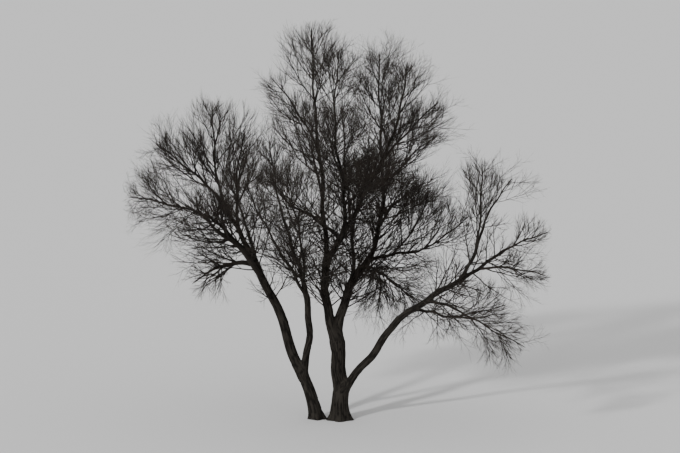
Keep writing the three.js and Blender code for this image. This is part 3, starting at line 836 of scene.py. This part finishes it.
def new_material(name, roughness):
    """A material, and the node of its surface."""
    material = bpy.data.materials.new(name)
    material.use_nodes = True
    surface = material.node_tree.nodes["Principled BSDF"]
    surface.inputs["Roughness"].default_value = roughness
    return material, surface


def colour_ramp(nodes, stops):
    ramp = nodes.new("ShaderNodeValToRGB")
    for element, (place, colour) in zip(ramp.color_ramp.elements, stops):
        element.position = place
        element.color = (*colour, 1)
    return ramp


def bark_material():
    """Dark bark, its grain running along each limb, with painted shade darkest in the furrows."""
    material, surface = new_material("winter_bark", BARK_ROUGHNESS)
    surface.inputs["Specular IOR Level"].default_value = BARK_SHINE
    nodes, links = material.node_tree.nodes, material.node_tree.links
    place = nodes.new("ShaderNodeAttribute")
    place.attribute_name = "limb_place"
    stretch = nodes.new("ShaderNodeMapping")
    stretch.inputs["Scale"].default_value = GRAIN_STRETCH
    links.new(place.outputs["Vector"], stretch.inputs["Vector"])
    grain = nodes.new("ShaderNodeTexNoise")
    grain.inputs["Scale"].default_value = GRAIN_SCALE
    grain.inputs["Detail"].default_value = GRAIN_DETAIL
    grain.inputs["Roughness"].default_value = GRAIN_ROUGHNESS
    links.new(stretch.outputs["Vector"], grain.inputs["Vector"])
    # The furrows' depth lowers the value that is fed to the shades: painted shade in the furrows
    furrow = nodes.new("ShaderNodeAttribute")
    furrow.attribute_name = "furrow"
    raised = nodes.new("ShaderNodeMath")
    raised.operation = "MULTIPLY_ADD"
    raised.inputs[1].default_value = FURROW_PAINTED_SHADE
    links.new(furrow.outputs["Fac"], raised.inputs[0])
    links.new(grain.outputs["Fac"], raised.inputs[2])
    shade = colour_ramp(nodes, BARK_SHADES)
    links.new(raised.outputs["Value"], shade.inputs["Fac"])
    patches = nodes.new("ShaderNodeTexNoise")
    patches.inputs["Scale"].default_value = PATCH_SCALE
    patches.inputs["Detail"].default_value = PATCH_DETAIL
    links.new(place.outputs["Vector"], patches.inputs["Vector"])
    tint = colour_ramp(nodes, BARK_TINTS)
    links.new(patches.outputs["Fac"], tint.inputs["Fac"])
    both = nodes.new("ShaderNodeMix")
    both.data_type = "RGBA"
    both.blend_type = "MULTIPLY"
    both.inputs["Factor"].default_value = 1
    links.new(shade.outputs["Color"], both.inputs["A"])
    links.new(tint.outputs["Color"], both.inputs["B"])
    links.new(both.outputs["Result"], surface.inputs["Base Color"])
    bump = nodes.new("ShaderNodeBump")
    bump.inputs["Distance"].default_value = GRAIN_DEPTH
    bump.inputs["Strength"].default_value = GRAIN_STRENGTH
    links.new(grain.outputs["Fac"], bump.inputs["Height"])
    links.new(bump.outputs["Normal"], surface.inputs["Normal"])
    return material


def twig_material(name, colour, roughness):
    material, surface = new_material(name, roughness)
    surface.inputs["Base Color"].default_value = (*colour, 1)
    surface.inputs["Specular IOR Level"].default_value = TWIG_SHINE
    return material


# The camera: a long lens that looks a little down on the tree's front. The frame has the photograph's shape
# and is so many metres high at the tree
ELEVATION = 9
LENS = 200
SENSOR = 36
FRAME_ASPECT = 680 / 453
FRAME_HEIGHT = 6.75
AIM = (0, 0, 2.93)
CAMERA_REACH = 500


def place_camera():
    distance = FRAME_HEIGHT * FRAME_ASPECT * LENS / SENSOR
    data = bpy.data.cameras.new("camera")
    data.lens = LENS
    data.sensor_width = SENSOR
    data.clip_end = CAMERA_REACH
    camera = bpy.data.objects.new("camera", data)
    tilt = radians(ELEVATION)
    camera.location = (AIM[0], AIM[1] - distance * cos(tilt), AIM[2] + distance * sin(tilt))
    camera.rotation_euler = (pi / 2 - tilt, 0, 0)
    bpy.context.scene.collection.objects.link(camera)
    bpy.context.scene.camera = camera


# A wide pale floor, just under the flat cut
FLOOR_RADIUS = 120
FLOOR_SIDES = 96
FLOOR_DROP = 0.001
FLOOR_COLOUR = (0.72, 0.72, 0.72)
FLOOR_ROUGHNESS = 0.95


def lay_floor():
    material, surface = new_material("pale_floor", FLOOR_ROUGHNESS)
    surface.inputs["Base Color"].default_value = (*FLOOR_COLOUR, 1)
    bpy.ops.mesh.primitive_circle_add(
        vertices=FLOOR_SIDES, radius=FLOOR_RADIUS, fill_type="NGON", location=(0, 0, -FLOOR_DROP)
    )
    floor = bpy.context.object
    floor.name = "floor"
    floor.data.materials.append(material)


# A soft sky all round, and a low soft sun behind the camera's left side
SKY_COLOUR = (0.9, 0.9, 0.9)
SKY_STRENGTH = 0.85
SUN_STRENGTH = 2.6
SUN_SPREAD = 4
SUN_TILT = 66
SUN_TURN = -38


def light_scene():
    world = bpy.data.worlds.new("soft_sky")
    bpy.context.scene.world = world
    world.use_nodes = True
    background = world.node_tree.nodes["Background"]
    background.inputs["Color"].default_value = (*SKY_COLOUR, 1)
    background.inputs["Strength"].default_value = SKY_STRENGTH
    data = bpy.data.lights.new("low_sun", "SUN")
    data.energy = SUN_STRENGTH
    data.angle = radians(SUN_SPREAD)
    sun = bpy.data.objects.new("low_sun", data)
    sun.rotation_euler = (radians(SUN_TILT), 0, radians(SUN_TURN))
    bpy.context.scene.collection.objects.link(sun)


def grow_limbs():
    """The growth of each limb by its name, parents first."""
    limbs = {}
    for index, spec in enumerate(LIMBS):
        limbs[spec.name] = grow_limb(spec, index, limbs)
    return limbs


def grow_masses(limbs):
    """Give each mass its stem, space, twigs and shoots."""
    for index, spec in enumerate(MASSES):
        bearer = limbs[spec.bearer]
        foot, tip = bearer.point(spec.at)[0], np.array(spec.tip, float)
        knee = knee_along(foot, leaving_direction(bearer, spec.at, foot, tip, STEM_TURN), tip)
        share = STEM_FOOT_SHARE if spec.at == 1 else SIDE_STEM_FOOT_SHARE
        radii = (bearer.radius(spec.at)[0] * share, STEM_TIP_RADIUS)
        spec.growth = single_growth(foot, knee, tip, radii, mix(FIRST_MASS_KEY + index))
        spec.space = Space(foot, tip, spec.spread)
    for spec in MASSES:
        for other in MASSES:
            if other is not spec:
                spec.space.part_from(other.space)
    limb_chords = [growth.chords(LIMB_CHORDS) for growth in limbs.values()]
    for spec in MASSES:
        stems = [other.growth.chords(STEM_CHORDS) for other in MASSES if other is not spec]
        obstacles = [np.concatenate(v) for v in zip(*limb_chords, *stems)]
        spec.twigs = grow_orders(spec.growth, spec.space, obstacles, THINNED.get(spec.name, 1))
        a_metre = MASS_SHOOTS.get(spec.name, USUAL_MASS_SHOOTS)
        spec.shoots = grow_shoots(spec.growth, 0, a_metre, obstacles, ORDERS[0].count)


def grow_limb_shoots(limbs):
    """Give each limb the shoots that grow along it, clear of the other limbs and the masses' stems."""
    stems = [spec.growth.chords(STEM_CHORDS) for spec in MASSES]
    for spec in LIMBS:
        others = [growth.chords(LIMB_CHORDS) for name, growth in limbs.items() if name != spec.name]
        obstacles = [np.concatenate(v) for v in zip(*others, *stems)]
        spec.shoots = grow_shoots(limbs[spec.name], *SHOOTS.get(spec.name, USUAL_SHOOTS), obstacles)


def dress_limbs(limbs):
    """The barked skins of the limbs, joined into one piece of thick limbs and one of thin ones."""
    bark = bark_material()
    skins = {
        spec.name: bark_tube(limbs[spec.name], spec, index, limbs) for index, spec in enumerate(LIMBS)
    }
    for name, thick in (("barked_stems", True), ("barked_boughs", False)):
        members = [spec.name for spec in LIMBS if is_thick(spec) == thick]
        points, faces, places, depths = zip(*[skins[member] for member in members])
        piece = mesh_object(name, [(*skin, 0) for skin in zip(points, faces)], [bark])
        place = piece.data.attributes.new("limb_place", "FLOAT_VECTOR", "POINT")
        place.data.foreach_set("vector", np.concatenate(places).ravel().astype(np.float32))
        # Each point's furrow depth, which the bark's colour turns into painted shade
        furrow = piece.data.attributes.new("furrow", "FLOAT", "POINT")
        furrow.data.foreach_set("value", np.concatenate(depths).astype(np.float32))
        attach(piece, "root")
        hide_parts(*members)


def twig_parts(orders):
    """The meshes of some orders of twigs, the coarser in older wood and the rest in young wood."""
    found = []
    for number, (growth, rule) in enumerate(zip(orders, ORDERS)):
        if len(growth):
            found.append((*tubes(growth, rule.sides), int(number >= OLDER_ORDERS)))
    return found


def dress_crown():
    """The twigs, joined into a piece for each part of the crown, and the limbs' shoots into pieces beside."""
    woods = [twig_material("older_twigs", *OLDER_WOOD), twig_material("young_twigs", *YOUNG_WOOD)]
    for crown in dict.fromkeys(spec.crown for spec in MASSES):
        members = [spec for spec in MASSES if spec.crown == crown]
        parts = []
        for spec in members:
            parts.append((*tubes(spec.twigs[0], STEM_SIDES), 0))
            parts.extend(twig_parts(spec.twigs[1:]) + twig_parts(spec.shoots))
        piece = mesh_object(crown, parts, woods)
        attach(piece, "root")
        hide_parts(*[spec.name for spec in members])
    for piece_name, bearers in SHOOT_PIECES.items():
        parts = [part for spec in LIMBS if spec.name in bearers for part in twig_parts(spec.shoots)]
        piece = mesh_object(piece_name, parts, woods)
        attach(piece, "root")


place_camera()
lay_floor()
light_scene()
limbs = grow_limbs()
grow_masses(limbs)
grow_limb_shoots(limbs)
dress_limbs(limbs)
dress_crown()
